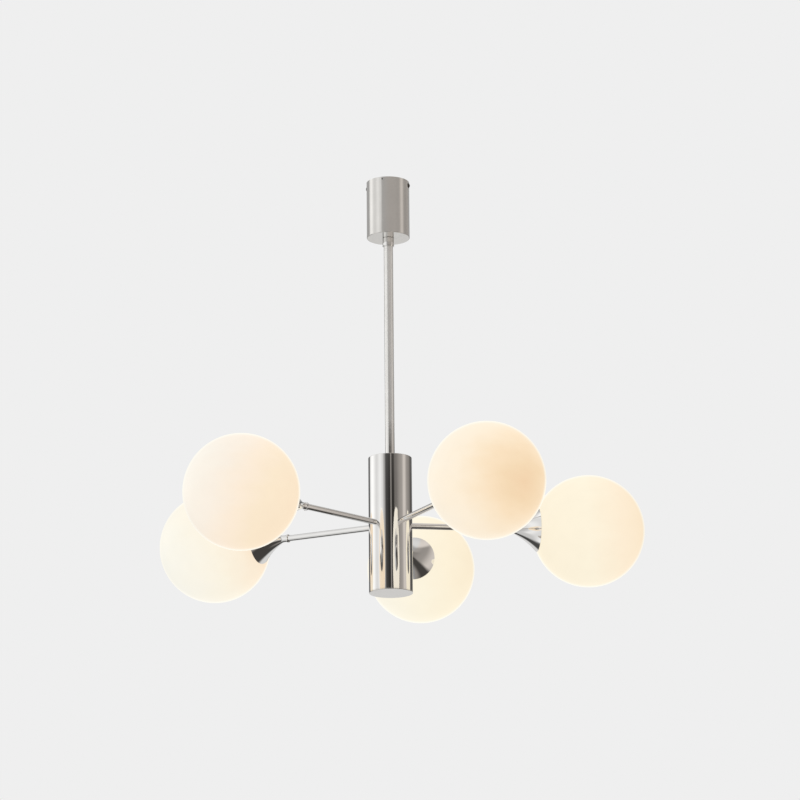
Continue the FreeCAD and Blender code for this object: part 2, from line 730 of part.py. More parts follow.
def check(pieces):
    """Stops on a failed object, a cut that took nothing away, or a shape that isn't sound."""
    for item in doc.Objects:
        if {"Invalid", "Error"} & set(item.State):
            raise RuntimeError(f"{item.Label}: {item.State}")
        if item.TypeId in ("PartDesign::Pocket", "PartDesign::Groove"):
            if item.Shape.Volume >= item.BaseFeature.Shape.Volume - 1e-6:
                raise RuntimeError(f"{item.Label} cuts nothing")
    for piece in pieces:
        if piece.Shape.isNull() or not piece.Shape.isValid() or not piece.Shape.Solids:
            raise RuntimeError(f"{piece.Label} has no sound shape")


def write(pieces):
    os.makedirs("parts", exist_ok=True)
    for piece in pieces:
        piece.Shape.exportStep(f"parts/{piece.Label}.step")


sub_parts = build()
check(sub_parts)
write(sub_parts)
print(len(sub_parts), "sub-parts,", sum(len(piece.Shape.Solids) for piece in sub_parts), "solids")
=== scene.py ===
import math

import bmesh
import bpy
from mathutils import Matrix, Vector


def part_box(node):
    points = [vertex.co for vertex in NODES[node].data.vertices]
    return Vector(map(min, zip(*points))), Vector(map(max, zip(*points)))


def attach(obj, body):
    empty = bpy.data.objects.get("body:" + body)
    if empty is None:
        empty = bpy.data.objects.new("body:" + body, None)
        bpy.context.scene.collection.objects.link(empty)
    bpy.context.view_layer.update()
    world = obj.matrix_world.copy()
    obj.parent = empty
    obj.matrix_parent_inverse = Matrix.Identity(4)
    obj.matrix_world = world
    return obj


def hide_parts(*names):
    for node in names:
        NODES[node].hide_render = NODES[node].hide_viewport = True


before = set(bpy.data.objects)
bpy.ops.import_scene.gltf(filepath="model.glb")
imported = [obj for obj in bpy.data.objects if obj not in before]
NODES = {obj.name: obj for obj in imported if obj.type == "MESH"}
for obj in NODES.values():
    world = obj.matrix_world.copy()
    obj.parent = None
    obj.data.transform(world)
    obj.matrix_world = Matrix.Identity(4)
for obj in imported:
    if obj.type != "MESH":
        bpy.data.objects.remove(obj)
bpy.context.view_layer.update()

# Branch chandelier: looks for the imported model, in metres. The first arm points along +X.
ARMS = range(1, 6)
ARM_STEP = math.radians(72)

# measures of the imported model
HUB_LOW, HUB_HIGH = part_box("hub_cap")[0].z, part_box("hub_body")[1].z
ARM_LEVEL = (HUB_LOW + HUB_HIGH) / 2
GLOBE_LOW, GLOBE_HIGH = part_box("globe_1")
GLOBE_RADIUS = (GLOBE_HIGH.z - GLOBE_LOW.z) / 2
ARM_REACH = GLOBE_HIGH.x - GLOBE_RADIUS
LAMP_LOW, LAMP_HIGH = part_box("bulb_1")
LAMP_START, LAMP_TIP = LAMP_LOW.x, LAMP_HIGH.x
LAMP_RADIUS = (LAMP_HIGH.z - LAMP_LOW.z) / 2

# where the camera stands, seen from the middle of the arms
CAMERA_DISTANCE = 4.6
CAMERA_BELOW = math.radians(13.51)
CAMERA_ROUND = math.radians(8.98)
CAMERA_YAW = math.radians(0.179)
CAMERA_TILT = math.radians(15.58)
CAMERA_ROLL = math.radians(-0.50)
CAMERA_LENS = 156.1
SENSOR_WIDTH = 36
CLIP_END = 200

# studio
BACKGROUND = 0.863
AMBIENT = 0.62
FLOOR_LEVEL = -2.0
FLOOR_SIZE = 60
FLOOR_GLOW = 0.53
FLOOR_MATT = 0.5
FLOOR_GREYS = (0.84, 0.84, 0.84), (0.87, 0.87, 0.87)
DOME_RADIUS = 1.45
DOME_ROUNDS, DOME_RISES = 180, 90


def linear(red, green, blue):
    """A display colour from 0 to 255 as Blender's linear colour, by the sRGB curve."""
    return tuple((c / 255 / 12.92) if c < 10 else ((c / 255 + 0.055) / 1.055) ** 2.4
                 for c in (red, green, blue))


def grey(brightness):
    return (brightness, brightness, brightness, 1)


def dimmed(colour, share):
    return tuple(share * part for part in colour)


def add_node(tree, kind, **settings):
    made = tree.nodes.new(kind)
    for name, value in settings.items():
        setattr(made, name, value)
    return made


def add_object(name, data):
    """An object for a mesh, light or camera, in the scene's collection."""
    made = bpy.data.objects.new(name, data)
    bpy.context.scene.collection.objects.link(made)
    return made


# ---------------------------------------------------------------- materials

class Look:
    """A material with its Principled shader, and short ways to add nodes."""

    def __init__(self, name):
        self.material = bpy.data.materials.new(name)
        self.material.use_nodes = True
        self.tree = self.material.node_tree
        self.shader = self.tree.nodes["Principled BSDF"]
        self.place = self.node("ShaderNodeTexCoord").outputs["Object"]

    def node(self, kind, **settings):
        return add_node(self.tree, kind, **settings)

    def link(self, source, target):
        self.tree.links.new(source, target)

    def plain(self, **values):
        """Values that are the same all over the surface, set on the shader's own sockets."""
        for name, value in values.items():
            self.shader.inputs[name.replace("_", " ")].default_value = value

    def varied(self, **sources):
        """Sources that vary over the surface, linked to the shader's sockets."""
        for name, source in sources.items():
            self.link(source, self.shader.inputs[name.replace("_", " ")])

    def noise(self, scale, detail, stretch=None):
        """Noise at so many waves a metre, drawn out along an axis where stretch says so."""
        noise = self.node("ShaderNodeTexNoise")
        noise.inputs["Scale"].default_value = scale
        noise.inputs["Detail"].default_value = detail
        place = self.place
        if stretch:
            mapping = self.node("ShaderNodeMapping")
            mapping.inputs["Scale"].default_value = stretch
            self.link(place, mapping.inputs["Vector"])
            place = mapping.outputs["Vector"]
        self.link(place, noise.inputs["Vector"])
        return noise.outputs["Fac"]

    def cells(self, scale):
        """The outputs of a cell pattern with so many cells a metre."""
        cells = self.node("ShaderNodeTexVoronoi", feature="F1")
        cells.inputs["Scale"].default_value = scale
        self.link(self.place, cells.inputs["Vector"])
        return cells.outputs

    def spread(self, source, low, high, start=0.3, end=0.7):
        """Maps a source from start..end to low..high."""
        span = self.node("ShaderNodeMapRange")
        span.inputs["From Min"].default_value = start
        span.inputs["From Max"].default_value = end
        span.inputs["To Min"].default_value = low
        span.inputs["To Max"].default_value = high
        self.link(source, span.inputs["Value"])
        return span.outputs["Result"]

    def ramp(self, source, stops):
        """A colour ramp with (place, colour) stops."""
        ramp = self.node("ShaderNodeValToRGB")
        elements = ramp.color_ramp.elements
        for number, (place, colour) in enumerate(stops):
            element = elements[number] if number < len(elements) else elements.new(place)
            element.position = place
            element.color = (*colour, 1)
        self.link(source, ramp.inputs["Fac"])
        return ramp.outputs["Color"]

    def mix(self, factor, first, second):
        """A colour between two, each a colour or a socket."""
        mix = self.node("ShaderNodeMix", data_type="RGBA")
        self.link(factor, mix.inputs["Factor"])
        for side, colour in (("A", first), ("B", second)):
            socket = next(s for s in mix.inputs if s.name == side and s.type == "RGBA")
            if isinstance(colour, bpy.types.NodeSocket):
                self.link(colour, socket)
            else:
                socket.default_value = (*colour, 1)
        return next(s for s in mix.outputs if s.type == "RGBA")

    def clouded(self, scale, detail, first, second):
        """A colour that drifts between two, with noise at so many waves a metre."""
        return self.mix(self.spread(self.noise(scale, detail), 0, 1), first, second)

    def reckon(self, operation, first, second):
        """The sum or product of two sockets."""
        result = self.node("ShaderNodeMath", operation=operation)
        self.link(first, result.inputs[0])
        self.link(second, result.inputs[1])
        return result.outputs[0]

    def bump(self, *layers):
        """Bump layers of (height, distance in metres, strength), each on top of the last."""
        normal = None
        for height, distance, strength in layers:
            bump = self.node("ShaderNodeBump")
            bump.inputs["Distance"].default_value = distance
            bump.inputs["Strength"].default_value = strength
            self.link(height, bump.inputs["Height"])
            if normal:
                self.link(normal, bump.inputs["Normal"])
            normal = bump.outputs["Normal"]
        self.varied(Normal=normal)


def polished(name, tint, fresh, worn):
    """Bright plating: polishing marks in the gloss, a slight cloud in the colour, faint waves."""
    look = Look(name)
    look.plain(Metallic=1.0)
    marks = look.noise(2600, 2, stretch=(1, 1, 0.08))
    look.varied(Base_Color=look.clouded(38, 3, tint, dimmed(tint, 0.965)),
                Roughness=look.spread(marks, fresh, worn, 0.25, 0.75))
    look.bump((look.noise(55, 1), 0.00003, 0.25), (marks, 0.000001, 0.12))
    return look.material


# towards its lower end, the stem's metal and gloss brighten over these heights
BUFFED_START = HUB_HIGH + 0.004
BUFFED_METAL_SPAN = 0.05
BUFFED_GLOSS_SPAN = 0.06
BUFFED_ROUGHNESS_SHARE = 0.25


def satin(name, tint, metal, fresh, worn, buffed=False):
    """Fine-brushed plating under a thin clear lacquer, buffed brighter near the hub if asked."""
    look = Look(name)
    look.plain(Metallic=metal, IOR=1.5, Coat_Weight=0.1, Coat_Roughness=0.05)
    brushed = look.noise(3200, 3, stretch=(1, 1, 0.03))
    rough = look.spread(brushed, fresh, worn)
    if buffed:
        parts = look.node("ShaderNodeSeparateXYZ")
        look.link(look.place, parts.inputs[0])
        height = parts.outputs["Z"]
        look.varied(Metallic=look.spread(height, 1.0, metal,
                                         BUFFED_START, BUFFED_START + BUFFED_METAL_SPAN))
        rough = look.reckon("MULTIPLY", rough,
                            look.spread(height, BUFFED_ROUGHNESS_SHARE, 1.0,
                                        BUFFED_START, BUFFED_START + BUFFED_GLOSS_SPAN))
    look.varied(Base_Color=look.clouded(45, 3, tint, dimmed(tint, 0.95)), Roughness=rough)
    look.bump((brushed, 0.000004, 0.3), (look.noise(60, 1), 0.00003, 0.2))
    return look.material


def zinc(name):
    """Zinc plating with its pale crystals, slightly dull."""
    look = Look(name)
    look.plain(Metallic=1.0)
    crystal = look.node("ShaderNodeSeparateColor")
    look.link(look.cells(420)["Color"], crystal.inputs["Color"])
    look.varied(Base_Color=look.mix(crystal.outputs["Red"], (0.55, 0.56, 0.56), (0.68, 0.69, 0.68)),
                Roughness=look.spread(crystal.outputs["Green"], 0.32, 0.48, 0, 1))
    look.bump((look.noise(900, 3), 0.00002, 0.3))
    return look.material


def brass(name):
    """Turned brass with lathe rings and a little tarnish."""
    look = Look(name)
    look.plain(Metallic=1.0)
    tarnish = look.noise(120, 5)
    tones = [(0, (0.62, 0.43, 0.17)), (0.55, (0.80, 0.60, 0.27)), (1, (0.86, 0.68, 0.34))]
    look.varied(Base_Color=look.ramp(look.spread(tarnish, 0, 1), tones),
                Roughness=look.spread(tarnish, 0.38, 0.2))
    look.bump((look.noise(1800, 2, stretch=(1, 0.1, 0.1)), 0.00001, 0.3))
    return look.material


def moulded(name, colour, fresh, worn, grain):
    """Moulded stuff with a fine grain and a soft shine."""
    look = Look(name)
    look.plain(IOR=1.5, Specular_IOR_Level=0.5)
    texture = look.noise(grain, 3)
    look.varied(Base_Color=look.clouded(70, 4, colour, dimmed(colour, 0.93)),
                Roughness=look.spread(texture, fresh, worn))
    look.bump((texture, 0.00002, 0.35))
    return look.material


def glazed(name):
    """White ceramic under a clear glaze, with a few fine specks."""
    look = Look(name)
    look.plain(IOR=1.52, Coat_Weight=0.8, Coat_Roughness=0.08, Roughness=0.55)
    body = look.clouded(90, 4, (0.86, 0.83, 0.77), (0.80, 0.77, 0.70))
    specks = look.spread(look.cells(700)["Distance"], 0.25, 0, 0.04, 0.09)
    look.varied(Base_Color=look.mix(specks, body, (0.55, 0.50, 0.43)))
    look.bump((look.noise(350, 3), 0.00003, 0.3))
    return look.material


OPAL_GLOW = 0.945
# the pale cream of the painted rim on the globes
OPAL_PAINTED_RIM = linear(254, 251, 240)


def opal(name, centre, shade_spot, stops):
    """Blown opal glass lit from inside, its glow coloured by the distance from a spot beside the
    ball as painted light and shade across it, with a painted pale rim at its edge.
    """
    look = Look(name)
    look.plain(IOR=1.5, Roughness=0.5, Specular_IOR_Level=0.25, Coat_Weight=0.05,
               Coat_Roughness=0.25, Emission_Strength=OPAL_GLOW)
    apart = look.node("ShaderNodeVectorMath", operation="DISTANCE")
    apart.inputs[1].default_value = centre + Vector(shade_spot) * GLOBE_RADIUS
    look.link(look.place, apart.inputs[0])
    reach = Vector(shade_spot).length
    share = look.spread(apart.outputs["Value"], 0, 1,
                        (reach - 1) * GLOBE_RADIUS, (reach + 1) * GLOBE_RADIUS)
    cords = look.spread(look.noise(22, 3, stretch=(1, 1, 2.2)), -0.04, 0.04)
    # painted light and shade: the glow runs warmer and darker near the spot and paler cream away
    # from it
    glow_and_shade = look.ramp(look.reckon("ADD", share, cords), stops)
    # painted pale rim: the glow turns pale cream toward the ball's edge, where the surface turns
    # away from view, as a painted sheen
    edge = look.node("ShaderNodeLayerWeight")
    painted_rim = look.spread(edge.outputs["Facing"], 0, 0.8, 0.72, 0.86)
    look.varied(Emission_Color=look.mix(painted_rim, glow_and_shade, OPAL_PAINTED_RIM),
                Base_Color=look.clouded(60, 2, (0.06, 0.055, 0.045), (0.045, 0.04, 0.032)))
    look.bump((look.noise(30, 2), 0.0004, 0.15), (look.noise(900, 2), 0.00001, 0.1))
    return look.material


def glass(name, fresh, hazy, glow):
    """The capsule lamp's glass, with a slight heat haze."""
    look = Look(name)
    look.plain(IOR=1.46, Transmission_Weight=1.0, Base_Color=(1.0, 0.98, 0.94, 1),
               Emission_Color=(1.0, 0.86, 0.62, 1), Emission_Strength=glow)
    look.varied(Roughness=look.spread(look.noise(260, 3), fresh, hazy))
    look.bump((look.noise(140, 2), 0.00005, 0.2))
    return look.material


def glowing(name, hot, cooler, strength):
    """The lit filament: hotter and cooler turns."""
    look = Look(name)
    look.plain(Roughness=0.6, Emission_Strength=strength)
    look.varied(Emission_Color=look.clouded(700, 2, hot, cooler))
    return look.material


CHROME = polished("polished_chrome", (0.89, 0.885, 0.875), fresh=0.02, worn=0.06)
SATIN = satin("satin_chrome", (0.78, 0.765, 0.74), metal=0.85, fresh=0.04, worn=0.09)
STEM_SATIN = satin("stem_satin_chrome", (0.88, 0.87, 0.85), metal=0.7, fresh=0.16, worn=0.26,
                   buffed=True)
# painted shade: the canopy's side screws are made near-black so that they show as the dark crescent
# of shade beside their heads
SCREW_PAINTED_SHADE = polished("screw_painted_shade", (0.09, 0.085, 0.08), fresh=0.25, worn=0.4)
ZINC = zinc("zinc_plate")
BRASS = brass("turned_brass")
PLASTIC = moulded("terminal_plastic", (0.84, 0.84, 0.81), fresh=0.38, worn=0.52, grain=1500)
CERAMIC = glazed("lampholder_ceramic")
LAMP_GLASS = glass("lamp_glass", fresh=0.12, hazy=0.24, glow=0.25)
FILAMENT = glowing("lit_filament", (1.0, 0.90, 0.66), (1.0, 0.72, 0.38), strength=3.0)
PIN_WIRE = polished("pin_wire", (0.74, 0.72, 0.69), fresh=0.18, worn=0.32)

# looks by the start of a node's name, and the first start that fits counts
NODE_LOOKS = {
    "canopy_screws": SCREW_PAINTED_SHADE, "canopy": SATIN, "hub_cap": SATIN, "stem_tube": STEM_SATIN,
    "hub_body": CHROME, "stem_coupler": CHROME, "arm_tube": CHROME, "arm_collar": CHROME,
    "shade_holder": CHROME, "ceiling_bracket": ZINC, "swivel": ZINC, "hub_nipple": ZINC,
    "hub_nut": ZINC, "hub_washer": ZINC, "arm_nuts": ZINC, "holder_nuts": ZINC,
    "terminal_screw": ZINC, "earth_screw": BRASS, "gallery": BRASS, "mains_terminal": PLASTIC,
    "lampholder": CERAMIC,
}

# each ball's glow, with painted light and shade across it: a spot, in radii from its centre, on its
# warmer and darker side, and its colours from there outward
GLOWS_WITH_PAINTED_SHADE = {
    1: ((2.96, -0.5, 0.2),
        [(0, (252, 232, 202)), (0.3, (254, 237, 211)), (0.6, (254, 244, 221)),
         (1, (252, 241, 217))]),
    2: ((2.9, -0.6, 0.3),
        [(0, (252, 237, 209)), (0.3, (254, 242, 216)), (0.6, (254, 246, 224)),
         (1, (252, 247, 232))]),
    3: ((2.7, -0.5, 1.1),
        [(0, (252, 230, 204)), (0.22, (251, 230, 203)), (0.4, (253, 239, 217)),
         (0.6, (253, 245, 227)), (1, (248, 246, 236))]),
    4: ((2.6, -0.6, -1.2),
        [(0, (251, 229, 200)), (0.3, (252, 233, 205)), (0.5, (253, 236, 215)),
         (0.7, (250, 239, 225)), (1, (248, 243, 233))]),
    5: ((0.48, -0.86, -0.2),
        [(0, (243, 210, 171)), (0.17, (246, 218, 180)), (0.3, (251, 226, 192)),
         (0.42, (253, 233, 204)), (0.56, (254, 239, 216)), (1, (250, 243, 229))]),
}


def arm_matrix(number):
    """From an arm's own frame, with X outward from the lamp's axis, to the lamp's."""
    turned_round = Matrix.Rotation((number - 1) * ARM_STEP, 4, "Z")
    return Matrix.Translation((0, 0, ARM_LEVEL)) @ turned_round


def globe_look(number):
    """An opal glass for a ball, with its glow and painted shade at its own place."""
    shade_spot, colours = GLOWS_WITH_PAINTED_SHADE[number]
    stops = [(share, linear(*colour)) for share, colour in colours]
    centre = arm_matrix(number) @ Vector((ARM_REACH, 0, 0))
    return opal(f"opal_glass_{number}", centre, shade_spot, stops)


def paint(node, material):
    slots = NODES[node].data.materials
    slots.clear()
    slots.append(material)


for node in NODES:
    if node.startswith("globe_"):
        paint(node, globe_look(int(node[-1])))
    elif not node.startswith("bulb_"):
        paint(node, next(look for start, look in NODE_LOOKS.items() if node.startswith(start)))


# ---------------------------------------------------------------- pieces

SMOOTH_BELOW = math.radians(40)
TURNED_SIDES = 48
ON_AXIS = 1e-7


def piece(name, mesh_maker, material, body, matrix):
    """An object from bmesh code, smooth but for its sharp edges, that rides on a body."""
    bm = bmesh.new()
    mesh_maker(bm)
    bmesh.ops.recalc_face_normals(bm, faces=bm.faces)
    for edge in bm.edges:
        edge.smooth = len(edge.link_faces) == 2 and edge.calc_face_angle(0) < SMOOTH_BELOW
    for face in bm.faces:
        face.smooth = True
    mesh = bpy.data.meshes.new(name)
    bm.to_mesh(mesh)
    bm.free()
    mesh.transform(matrix)
    mesh.materials.append(material)
    made = add_object(name, mesh)
    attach(made, body)
    return made


def turned(profile):
    """A closed outline of (distance, radius) points turned about X, single on the axis."""
    def make(bm):
        turns = [2 * math.pi * k / TURNED_SIDES for k in range(TURNED_SIDES)]
        rings = []
        for along, radius in profile:
            if radius < ON_AXIS:
                rings.append([bm.verts.new((along, 0, 0))])
            else:
                rings.append([bm.verts.new((along, radius * math.cos(t), radius * math.sin(t)))
                              for t in turns])
        for first, second in zip(rings, rings[1:] + rings[:1]):
            if len(first) == 1 and len(second) == 1:
                continue
            for k in range(TURNED_SIDES):
                nearby = (k + 1) % TURNED_SIDES
                corners = [first[k % len(first)], first[nearby % len(first)],
                           second[nearby % len(second)], second[k % len(second)]]
                bm.faces.new(list(dict.fromkeys(corners)))
    return make


def wire(points, radius, sides=8):
    """A round wire through the points, with flat ends."""
    def make(bm):
        path = [Vector(point) for point in points]
        last = len(path) - 1
        rings = []
        side = None
        for k, point in enumerate(path):
            along = (path[min(k + 1, last)] - path[max(k - 1, 0)]).normalized()
            if side is None:
                side = along.orthogonal().normalized()
            side = (side - along * side.dot(along)).normalized()
            other = along.cross(side)
            ring = []
            for s in range(sides):
                turn = 2 * math.pi * s / sides
                off_axis = side * math.cos(turn) + other * math.sin(turn)
                ring.append(bm.verts.new(point + off_axis * radius))
            rings.append(ring)
        for first, second in zip(rings, rings[1:]):
            for s in range(sides):
                after = (s + 1) % sides
                bm.faces.new((first[s], first[after], second[after], second[s]))
        bm.faces.new(rings[0])
        bm.faces.new(rings[-1])
    return make


def arc_points(centre, radius, start, end, steps):
    """Points (along, out) on an arc, with angles in degrees."""
    angles = [math.radians(start + (end - start) * k / steps) for k in range(steps + 1)]
    return [(centre[0] + radius * math.cos(a), centre[1] + radius * math.sin(a)) for a in angles]


def helix(start, pitch, turns, steps, radius_at):
    """Points on a helix about X, with so many steps a turn and a radius for each step."""
    points = []
    for k in range(turns * steps + 1):
        turn, radius = 2 * math.pi * k / steps, radius_at(k)
        points.append((start + pitch * k / steps,
                       radius * math.cos(turn), radius * math.sin(turn)))
    return points


# the capsule lamp's pins: wires folded back on themselves, pointing to the hub
PIN_LENGTH = 0.008
PIN_ASIDE = 0.0045
PIN_WIRE_RADIUS = 0.00045
PIN_HALF_FOLD = 0.0011 - PIN_WIRE_RADIUS
PIN_NOSE, PIN_BEND = 0.0005, 0.0012
PIN_ROOT = 0.002

# its pressed foot, which stands just clear of the lampholder and reaches into the envelope
PINCH_HALF_WIDTH = 0.007
PINCH_HALF_THICK = 0.0022
PINCH_CLEAR = 0.0001
PINCH_INSIDE = 0.001
PINCH_EDGE = 0.0007
PINCH_EDGE_STEPS = 3

# its envelope: (ahead of its base, radius) at the shoulder, (behind the lamp's tip, radius) beyond
ENVELOPE_FROM_FOOT = 0.006
LAMP_WALL = 0.0009
LAMP_BORE = LAMP_RADIUS - LAMP_WALL
SHOULDER_OUTSIDE = [(0, PINCH_HALF_THICK), (0.0005, 0.0045), (0.0015, 0.0068), (0.003, LAMP_RADIUS)]
SHOULDER_INSIDE = [(0.0036, LAMP_BORE), (0.0021, 0.005), (0.0014, 0.0012)]
CHEEK_START, CHEEK_RADIUS = 0.003, 0.0027
CHEEK_ANGLES, CHEEK_STEPS = (75, 0), 5
TIP_OUTSIDE = [(0.0001, 0.003), (0, 0)]
TIP_INSIDE = [(0.0012, 0), (0.0013, 0.004), (0.0022, 0.0064), (0.0035, LAMP_BORE)]

# its coiled filament
COIL_CLEAR = 0.009
COIL_TURNS, COIL_STEPS = 34, 10
COIL_RADIUS = 0.0009
COIL_WIRE_RADIUS, COIL_WIRE_SIDES = 0.00016, 5

# its leads' bends: (ahead of the envelope's base, across), and round the far end of the coil
LEAD_RADIUS, LEAD_SIDES = 0.0002, 6
LEAD_ROOT = 0.003
NEAR_LEAD = [(0.001, -0.004), (0.004, -0.0012)]
FAR_LEAD = [(0.001, 0.0042), (0.005, 0.0048)]
FAR_LEAD_END = [(0, 0.0048), (0.0015, 0.0025)]


def lamp_envelope(base):
    """The envelope's closed outline, from its base to the tip outside and back inside."""
    outside = [(base + ahead, radius) for ahead, radius in SHOULDER_OUTSIDE]
    outside.append((LAMP_TIP - CHEEK_START, LAMP_RADIUS))
    outside += arc_points((LAMP_TIP - CHEEK_START, LAMP_RADIUS - CHEEK_RADIUS), CHEEK_RADIUS,
                          *CHEEK_ANGLES, CHEEK_STEPS)
    outside += [(LAMP_TIP - behind, radius) for behind, radius in TIP_OUTSIDE]
    inside = [(LAMP_TIP - behind, radius) for behind, radius in TIP_INSIDE]
    inside += [(base + ahead, radius) for ahead, radius in SHOULDER_INSIDE]
    return turned(outside + inside)


def lamp_pinch(start, end):
    """The lamp's flat foot, where its glass was pressed shut."""
    def make(bm):
        bmesh.ops.create_cube(bm, size=1)
        for vert in bm.verts:
            vert.co = Vector((start + (end - start) * (vert.co.x + 0.5),
                              2 * PINCH_HALF_WIDTH * vert.co.y, 2 * PINCH_HALF_THICK * vert.co.z))
        bmesh.ops.bevel(bm, geom=list(bm.edges), offset=PINCH_EDGE, segments=PINCH_EDGE_STEPS,
                        profile=0.5, affect="EDGES")
    return make


def lamp_pin(foot, across):
    """A contact pin, folded at its tip and standing in the foot."""
    root, bend = foot + PIN_ROOT, LAMP_START + PIN_BEND
    points = [(root, across - PIN_HALF_FOLD, 0), (bend, across - PIN_HALF_FOLD, 0),
              (LAMP_START + PIN_NOSE, across, 0),
              (bend, across + PIN_HALF_FOLD, 0), (root, across + PIN_HALF_FOLD, 0)]
    return wire(points, PIN_WIRE_RADIUS)


def lead_paths(foot, base, coil_start, coil_end):
    """Each lead's bends as (along, across), from its pin to its end of the coil."""
    near = [(foot + LEAD_ROOT, -PIN_ASIDE)]
    near += [(base + ahead, across) for ahead, across in NEAR_LEAD]
    far = [(foot + LEAD_ROOT, PIN_ASIDE)]
    far += [(base + ahead, across) for ahead, across in FAR_LEAD]
    far += [(coil_end + ahead, across) for ahead, across in FAR_LEAD_END]
    return {"near": near + [(coil_start, COIL_RADIUS)], "far": far + [(coil_end, COIL_RADIUS)]}


def lamp_pieces(number):
    """A two-pin capsule lamp: envelope, pinched foot, pins, filament and leads."""
    def part(name, mesh_maker, material):
        return piece(f"lamp_{name}_{number}", mesh_maker, material, f"bulb_{number}",
                     arm_matrix(number))

    foot = LAMP_START + PIN_LENGTH
    base = foot + ENVELOPE_FROM_FOOT
    envelope = part("envelope", lamp_envelope(base), LAMP_GLASS)
    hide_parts(f"bulb_{number}")
    part("pinch", lamp_pinch(foot + PINCH_CLEAR, base + PINCH_INSIDE), LAMP_GLASS)
    for label, across in (("left", -PIN_ASIDE), ("right", PIN_ASIDE)):
        part(f"pin_{label}", lamp_pin(foot, across), PIN_WIRE)
    coil_start, coil_end = base + COIL_CLEAR, LAMP_TIP - COIL_CLEAR
    coil = helix(coil_start, (coil_end - coil_start) / COIL_TURNS, COIL_TURNS, COIL_STEPS,
                 lambda step: COIL_RADIUS)
    part("filament", wire(coil, COIL_WIRE_RADIUS, COIL_WIRE_SIDES), FILAMENT)
    for label, bends in lead_paths(foot, base, coil_start, coil_end).items():
        points = [(along, across, 0) for along, across in bends]
        part(f"lead_{label}", wire(points, LEAD_RADIUS, LEAD_SIDES), PIN_WIRE)


# the thread on a globe's neck, which fades in and out over its first and last steps
NECK_RADIUS = 0.0155
THREAD_RISE = 0.00024
THREAD_PITCH = 0.0021
THREAD_TURNS, THREAD_STEPS, THREAD_FADE_STEPS = 2, 48, 6
THREAD_FROM_END = 0.0008


def neck_thread(number):
    """The raised thread on a globe's neck that turns into its gallery."""
    last = THREAD_TURNS * THREAD_STEPS

    def radius_at(step):
        share = min(1, step / THREAD_FADE_STEPS, (last - step) / THREAD_FADE_STEPS)
        return NECK_RADIUS - THREAD_RISE * (1 - share)

    points = helix(GLOBE_LOW.x + THREAD_FROM_END, THREAD_PITCH, THREAD_TURNS, THREAD_STEPS,
                   radius_at)
    material = NODES[f"globe_{number}"].data.materials[0]
    piece(f"globe_thread_{number}", wire(points, THREAD_RISE), material, f"globe_{number}",
          arm_matrix(number))


for number in ARMS:
    lamp_pieces(number)
    neck_thread(number)


# ---------------------------------------------------------------- studio

# the studio's walls: (bearing in degrees from the camera's side to its right, brightness)
STUDIO_WALLS = [
    (-180, 0.45), (-162, 0.12), (-140, 0.12), (-124, 1.05), (-108, 1.16), (-75, 0.78), (-55, 0.96),
    (-42, 0.8), (-32, 0.45), (-22, 0.06), (-1, 0.025), (3.5, 0.36), (8, 0.04), (16, 0.025),
    (25, 0.18), (59, 0.37), (79, 0.68), (98, 0.34), (116, 0.26), (131, 0.09), (148, 0.1),
    (166, 0.4), (180, 0.45)]

# where the studio's parts fade in or out: (start, end) in degrees, of the bearing to either side
# or to the left, or of the height over or under level
FRONT_END = (40, 62)
BACK_START = (118, 150)
LEFT_START, LEFT_END = (30, 50), (-125, -100)
SHADE_START, SHADE_END = (104, 114), (146, 158)
LEAN_SIDE, LEAN_HEIGHT = (85, 110), (15, 33)
LIFT_SIDE, LIFT_HEIGHT = (95, 125), (14, 35)
CEILING_START, CEILING_MIDDLE = (46, 56), (60, 85)
SKIRTING_TOP = (-3, 7)
GROUND_EDGE, GROUND_MIDDLE = (-44, -28), (66, 86)
WARM_START, WARM_END = (-50, 15), (125, 155)

# how far the left walls lean, in degrees, and the brightness of the parts
WALL_LEAN = 13
LIFTED_WALL = 0.38
CEILING, CEILING_CENTRE = 0.75, 0.55
SKIRTING_FRONT, SKIRTING_BACK, SKIRTING_SHADE = 0.55, 0.72, 0.07
GROUND, GROUND_LEFT, GROUND_CENTRE = 0.06, 0.62, 0.3
GREEN_SHARE, BLUE_SHARE = (0.995, 0.92), (0.985, 0.85)


def smooth(value, start, end):
    """0 below the start, 1 above the end, and a smooth rise between them."""
    share = min(1.0, max(0.0, (value - start) / (end - start)))
    return share * share * (3 - 2 * share)


def between(first, second, share):
    return first + (second - first) * share


def in_front(bearing):
    """1 before the lamp, on the camera's side, and 0 from the sides on."""
    return 1 - smooth(abs(bearing), *FRONT_END)


def wall_tone(bearing, height):
    """The brightness of the studio's walls, with the left ones leaning and the dark ones lifted."""
    lean = WALL_LEAN * smooth(height, *LEAN_HEIGHT) * smooth(-bearing, *LEAN_SIDE)
    shifted = max(-180, bearing - lean)
    index = next(k for k in range(1, len(STUDIO_WALLS)) if shifted <= STUDIO_WALLS[k][0])
    (start, low), (end, high) = STUDIO_WALLS[index - 1], STUDIO_WALLS[index]
    wall = between(low, high, smooth(shifted, start, end))
    dark_sides = max(in_front(bearing), smooth(abs(bearing), *LIFT_SIDE))
    lifted = dark_sides * smooth(height, *LIFT_HEIGHT)
    return between(wall, max(wall, LIFTED_WALL), lifted)


